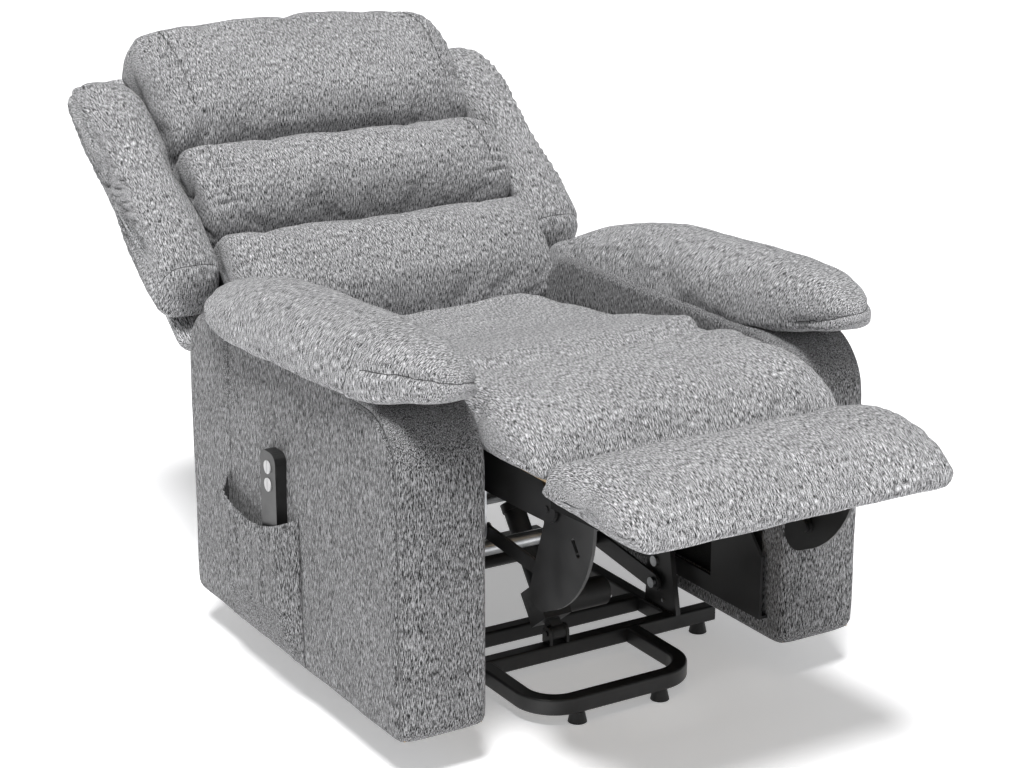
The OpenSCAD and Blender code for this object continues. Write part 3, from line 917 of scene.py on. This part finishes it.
def arm_pad(side):
    """The pillow along one arm: domed top, lips over both faces, and a nose that overhangs the arm's front."""
    stations = [PAD_FRONT + k for k in (0, 2, 6, 12, 20, 30, 42, 56, 72)]
    stations += list(np.linspace(PAD_FRONT + 88, PAD_REAR - 60, 44))
    stations += [PAD_REAR - k for k in (46, 34, 24, 15, 8, 3, 0)]
    top_line = smooth_line(PAD_TOP, 120)
    tables = [smooth_line(table, 120) for table in (PAD_LIP, PAD_INNER_EDGE, PAD_OUTER_EDGE, PAD_INNER_HANG)]
    rings = []
    for y in stations:
        top = at_depth(y, top_line)
        lip, inner, outer, hang = (at_depth(y, table) for table in tables)
        half, mid = (outer - inner) / 2, (outer + inner) / 2
        drop = 20 * min(1, half / 70, (y - PAD_FRONT + 8) / 60)
        ring = []
        for a in turns(72):
            c, s = math.cos(a), math.sin(a)
            reach = half * math.copysign(abs(c) ** (2 / 2.5), c)
            rise = (top - lip if s > 0 else drop) * math.copysign(abs(s) ** (2 / 2.35), s)
            if s < 0.55:
                rise -= hang * max(0.0, -c) ** 2 * min(1.0, (0.55 - s) / 0.55)
            ring.append(((mid + reach) * side, y, lip + rise))
        rings.append(ring)
    return loft(f"arm_pillow_{side_word(side)}", rings, CLOTH_PAD)


panels = {side: arm_panel(side) for side in (-1, 1)}
pillows = {side: arm_pad(side) for side in (-1, 1)}
for pillow in pillows.values():
    stuffed(pillow, 7, lambda p: (p[:, 2] < 552).astype(float))


# ---------- back shell ----------


def back_shell():
    """The padded outer back: a thin rounded panel that everything on the back hangs from."""
    length = 604
    outline = []
    for x, s, radius, start in (
        (SHELL_HALF - 96, length - 96, 90, 0),
        (96 - SHELL_HALF, length - 96, 90, 90),
        (24 - SHELL_HALF, 18, 14, 180),
        (SHELL_HALF - 24, 18, 14, 270),
    ):
        for k in range(9):
            a = math.radians(start + 90 * k / 8)
            outline.append((x + radius * math.cos(a), s + radius * math.sin(a)))
    loop = even_loop(outline, 160)
    normal = outward(loop)
    centre = loop.mean(0)
    rings = []
    for f in (0.1, 0.4, 0.7, 0.9, 0.97):
        rings.append((centre + (loop - centre) * f, 22))
    for angle in np.linspace(90, -90, 9):
        a = math.radians(angle)
        rings.append((loop + normal * 6 * math.cos(a), 11 + 11 * math.sin(a)))
    for f in (0.97, 0.9, 0.8, 0.68, 0.55, 0.4, 0.25, 0.1):
        rings.append((centre + (loop - centre) * f, -3.0 * (1 - f * f)))
    rings = [np.concatenate([flat, np.full((len(flat), 1), n)], axis=1) for flat, n in rings]
    return loft("outer_back", [from_back(ring) for ring in rings], CLOTH_BACK)


shell = back_shell()


# ---------- swell, refine, then press in gathers and seams ----------

swell_all()
sided = [*wings.values(), *pillows.values(), *panels.values()]
for soft in [lumbar, middle, head, seat, bolster, legrest, shell, *sided]:
    refine(soft)


def gathers(strength, half, seam_from_end, spread, spacing, low, high, seed):
    """Creases across a side seam of a back roll, which runs seam_from_end in from the roll's end."""

    def lift(p):
        s, n = up_and_off(p)
        if n < 88 or s < low or s > high:
            return 0.0
        side = math.copysign(3, p[0])
        gap = half - abs(p[0]) - seam_from_end
        fade = min(1, (s - low) / 24, (high - s) / 24) * min(1, (n - 88) / 20)
        turn = s / spacing + 0.004 * gap + 0.55 * noise.noise(Vector((s / 34, seed + side, gap / 60)))
        crease = abs(math.sin(math.pi * turn)) ** 0.7 - 0.72
        reach = spread * (1.0 + 0.9 * noise.noise(Vector((s / 13, seed - side, 4.0))))
        return fade * strength * crease * math.exp(-((gap / max(reach, 9)) ** 2))

    return lift


press(head, gathers(10.0, BACK_HALF, 40, 34, 19, 370, 600, 1.0))
press(middle, gathers(9.0, BACK_HALF, 32, 30, 18, 162, 330, 5.0))
press(lumbar, gathers(2.6, LUMBAR_HALF, 30, 30, 26, 40, 150, 8.0))


def slack(size, depth, seed):
    """Soft, wide unevenness of cloth over stuffing."""
    return lambda p: depth * ripple(p, size, seed) + 0.35 * depth * ripple(p, size * 0.4, seed + 4)


for soft, depth in ((lumbar, 3.2), (middle, 3.0), (head, 3.2), (seat, 3.2), (bolster, 2.6), (legrest, 2.2)):
    press(soft, slack(85, depth, 2.0))
for pillow in pillows.values():
    press(pillow, slack(70, 2.6, 7.0))
for panel in panels.values():
    press(panel, lambda p: 1.6 * ripple((p[0], p[1], p[2] * 0.5), 60, 11.0) * (abs(p[0]) > ARM_OUTER - 30))


def wing_gathers(p):
    """Puckers that fan in from the wing's outer edge."""
    s, n = up_and_off(p)
    outer = (abs(p[0]) - WING_INNER) / (WING_OUTER - WING_INNER)
    if outer < 0.35 or s < 120 or n < 30:
        return 0.0
    fade = min(1, (s - 120) / 60) * min(1, (outer - 0.35) / 0.35)
    lean = s + 0.8 * (n - 60)
    fade *= max(0.0, min(1.0, (n - 30) / 24))
    turn = lean / 19 + 0.8 * noise.noise(Vector((s / 45, 2.0 + math.copysign(4, p[0]), n / 90)))
    crease = abs(math.sin(math.pi * turn)) ** 0.8 - 0.68
    uneven = 1.0 + 0.9 * noise.noise(Vector((s / 17, 6.0, 1.0)))
    return fade * 6.0 * crease * uneven


for pad in wings.values():
    press(pad, wing_gathers)
    press(pad, slack(60, 2.0, 3.0))


def seat_tuck(p):
    """The crease between seat and knee roll deepens and lifts towards both sides."""
    side = max(0.0, (abs(p[0]) - 90) / (SEAT_HALF - 90))
    gap = p[1] - (182 + 40 * side)
    return -7 * side * math.exp(-((gap / 18) ** 2)) + 6 * side * math.exp(-(((gap - 34) / 26) ** 2))


press(seat, lambda p: seat_tuck(p) if p[2] > 490 else 0.0)


def end_puckers(p):
    """Small puckers where the legrest's cover is gathered over its corners."""
    gap = SEAT_HALF - abs(p[0])
    if gap > 60 or p[2] < 455:
        return 0.0
    wave = noise.noise(Vector((p[1] / 13, 3.0 + math.copysign(2, p[0]), p[2] / 40)))
    return 2.4 * wave * (1 - gap / 60)


press(legrest, end_puckers)

PAD_FRONT_SEAM = [(430, 84, 606), (412, 0, 616), (366, -58, 614), (312, -42, 602), (276, 24, 578)]
PAD_DART = [(414, 104, 642), (430, 108, 612), (436, 116, 586), (424, 128, 562)]
WING_SEAM = [(312, 84, 128), (350, 82, 136), (392, 84, 126), (408, 86, 90)]
FRONT_CORNER_Y, FRONT_CORNER_Z = 95, 461


def down_the_front(q):
    """Sort key of an arm's front edge: over the top corner first, then straight down."""
    if q[1] > FRONT_CORNER_Z:
        reach = math.atan2(q[1] - FRONT_CORNER_Z, q[0] - FRONT_CORNER_Y)
    else:
        reach = -q[1]
    return (q[1] < ARM_TOP - ARM_FRONT_RADIUS, reach)


for side in (-1, 1):
    word = side_word(side)
    sew(
        panels[side],
        f"side_seam_{word}",
        [(side * ARM_OUTER, 552, 545), (side * (ARM_OUTER + 3), 552, 300), (side * ARM_OUTER, 552, 70)],
        "chassis",
    )
    front_edge = arm_outline(12)
    chosen = [q for q in front_edge if q[0] < ARM_FRONT_RADIUS + 60 and q[1] > ARM_BOTTOM + 20]
    chosen.sort(key=down_the_front)
    sew(
        panels[side],
        f"front_seam_{word}",
        [(side * ARM_OUTER, q[0], q[1]) for q in chosen],
        "chassis",
        depth=3.0,
        width=4.0,
    )
    sew(
        pillows[side],
        f"pad_front_seam_{word}",
        [(side * x, y, z) for x, y, z in PAD_FRONT_SEAM],
        "chassis",
        depth=3.4,
    )
    sew(
        pillows[side],
        f"pad_dart_{word}",
        [(side * x, y, z) for x, y, z in PAD_DART],
        "chassis",
        depth=3.8,
    )
    sew(
        wings[side],
        f"wing_seam_{word}",
        from_back([(side * x, s, n) for x, s, n in WING_SEAM]),
        "back",
        depth=2.4,
    )

sew(
    bolster,
    "knee_seam",
    [(-250, 178, 500), (-120, 172, 528), (0, 170, 532), (120, 172, 528), (250, 178, 500)],
    "seat",
    depth=1.5,
)
for target, word, low, high, inset in ((head, "head", 372, 616, 42), (middle, "middle", 172, 338, 36)):
    for side in (-1, 1):
        sew(
            target,
            f"{word}_side_seam_{side_word(side)}",
            from_back([(side * (BACK_HALF - inset), s, 190) for s in np.linspace(low, high, 6)]),
            "back",
            depth=2.0,
            width=4.0,
        )

finish_soft(lumbar, "back", ["lumbar_cushion"])
finish_soft(middle, "back", ["middle_cushion"])
finish_soft(head, "back", ["head_cushion"])
finish_soft(seat, "seat", ["seat_cushion"])
finish_soft(bolster, "seat", ["knee_bolster"])
finish_soft(legrest, "legrest", ["legrest_pad"])
finish_soft(shell, "back", ["back_shell"])
for side, word in ((-1, "left"), (1, "right")):
    finish_soft(wings[side], "back", [f"wing_{word}"])
    finish_soft(pillows[side], "chassis", [f"arm_pad_{word}"])
    finish_soft(panels[side], "chassis", [f"arm_cover_{word}"])


# ---------- side pocket ----------

POCKET_Y = (305.0, 565.0)
POCKET_FLOOR = ARM_BOTTOM + 9


def mouth_height(y):
    """The mouth dips between its two sewn ends."""
    t = (y - POCKET_Y[0]) / (POCKET_Y[1] - POCKET_Y[0])
    ends = 314 * (1 - t) + 306 * t
    return ends - 36 * math.sin(math.pi * t) ** 0.8


def pocket_cloth():
    """One sheet that stands off the arm's outer face, sewn down along its sides and floor."""
    across_count, up_count = 70, 56
    points, faces = [], []
    for j in range(up_count):
        v = j / (up_count - 1)
        for i in range(across_count):
            u = i / (across_count - 1)
            y = POCKET_Y[0] + u * (POCKET_Y[1] - POCKET_Y[0])
            z = POCKET_FLOOR + v * (mouth_height(y) - POCKET_FLOOR)
            side = min(1.0, math.sin(math.pi * u) * 2.2)
            lift = 23 * side**0.7 * min(1.0, v * 2.6) ** 0.8
            folds = noise.noise(Vector((u * 11 + 0.6 * v, v * 1.1, 4.0)))
            folds += 0.5 * noise.noise(Vector((u * 23 - v, v * 1.6, 8.0)))
            lift += 6.0 * folds * side * (0.35 + 0.65 * v)
            if v > 0.93:
                lift += 1.4 * math.sin(u * 150) * side
            start = Vector(in_row([(-ARM_OUTER - 60, y, z)])[0])
            skin = panels[-1].ray_cast(start, Vector((1, 0, 0)))[1].x / MM
            points.append((skin - 1.2 - max(0.0, lift), y, z))
    for j in range(up_count - 1):
        for i in range(across_count - 1):
            a = j * across_count + i
            faces.append((a, a + 1, a + 1 + across_count, a + across_count))
    cloth = add_mesh("pocket_pouch", in_row(points), faces, CLOTH_UPRIGHT_SHADED)
    thick = cloth.modifiers.new("cloth_thickness", "SOLIDIFY")
    thick.thickness = 1.6 * MM
    thick.offset = 0
    return cloth


pocket = pocket_cloth()
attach(pocket, "chassis")
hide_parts("handset_pocket")
HEM_POINTS = 60
HEM_DROP = 11
hem_path = []
for i in range(HEM_POINTS):
    y = POCKET_Y[0] + 1 + i / (HEM_POINTS - 1) * (POCKET_Y[1] - POCKET_Y[0] - 2)
    near = Vector(in_row([(-(ARM_OUTER + 20), y, mouth_height(y) - HEM_DROP)])[0])
    place = pocket.closest_point_on_mesh(near)[1]
    hem_path.append(np.array(place) + np.array([-1.0 * MM, 0, 0]))
hem = tube("pocket_hem_stitch", hem_path, 0.5 * MM, THREAD)
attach(hem, "chassis")


# ---------- camera, light and floor ----------

CAMERA_PLACE = (-1794, -2572, 1514)
CAMERA_DOWN, CAMERA_TURN = math.radians(17.37), math.radians(-31.18)
CAMERA_LENS = 79.85
CAMERA_SHIFT = (0.0056, 0.0023)
SUN_ANGLE, SUN_ENERGY = math.radians(16), 3.5
SUN_AIM = (0.25, 0.30, -1.0)
FILL_PLACE, FILL_AIM = (1.2, -3.6, 1.6), (0, 0, 0.4)
FILL_SIZE, FILL_POWER = 2.4, 4
SKY_LIGHT, SKY_SEEN = 0.24, 1.0
FLOOR_HALF, FLOOR_DROP, FLOOR_GLOW = 14, 0.001, 0.34


def aimed(name, data, aim):
    """A lamp whose light travels along aim."""
    lamp = bpy.data.objects.new(name, data)
    lamp.rotation_euler = Vector(aim).to_track_quat("-Z", "Y").to_euler()
    bpy.context.scene.collection.objects.link(lamp)
    return lamp


camera_data = bpy.data.cameras.new("camera")
camera = bpy.data.objects.new("camera", camera_data)
bpy.context.scene.collection.objects.link(camera)
camera.location = in_row([CAMERA_PLACE])[0]
camera.rotation_euler = (math.radians(90) - CAMERA_DOWN, 0, CAMERA_TURN)
camera_data.lens = CAMERA_LENS
camera_data.shift_x, camera_data.shift_y = CAMERA_SHIFT
bpy.context.scene.camera = camera

sun = bpy.data.lights.new("overhead", "SUN")
sun.angle = SUN_ANGLE
sun.energy = SUN_ENERGY
aimed("overhead", sun, SUN_AIM)
fill = bpy.data.lights.new("front_fill", "AREA")
fill.shape = "DISK"
fill.size = FILL_SIZE
fill.energy = FILL_POWER
aimed("front_fill", fill, Vector(FILL_AIM) - Vector(FILL_PLACE)).location = FILL_PLACE

# the sky is white behind the chair and dimmer where it lights the chair
world = bpy.data.worlds.new("studio")
world.use_nodes = True
sky = world.node_tree.nodes["Background"].inputs
sky["Color"].default_value = (1, 1, 1, 1)
strength = world.node_tree.nodes.new("ShaderNodeMapRange")
strength.inputs["To Min"].default_value = SKY_LIGHT
strength.inputs["To Max"].default_value = SKY_SEEN
sight = world.node_tree.nodes.new("ShaderNodeLightPath").outputs["Is Camera Ray"]
world.node_tree.links.new(sight, strength.inputs["Value"])
world.node_tree.links.new(strength.outputs["Result"], sky["Strength"])
bpy.context.scene.world = world
bpy.context.scene.view_settings.view_transform = "Standard"

pale_floor = Nodes("pale_floor")
clouds = pale_floor.noise((1.5, 1.5, 1.5), detail=2.0)
pale = pale_floor.ramp(clouds, [(0.3, grey(0.93)), (0.7, grey(0.95))])
pale_floor.finish(pale, 0.9, Emission_Color=(1, 1, 1, 1), Emission_Strength=FLOOR_GLOW)
corners = [(FLOOR_HALF * x, FLOOR_HALF * y, -FLOOR_DROP) for x, y in ((-1, -1), (1, -1), (1, 1), (-1, 1))]
floor = add_mesh("floor", corners, [(0, 1, 2, 3)], pale_floor.material)
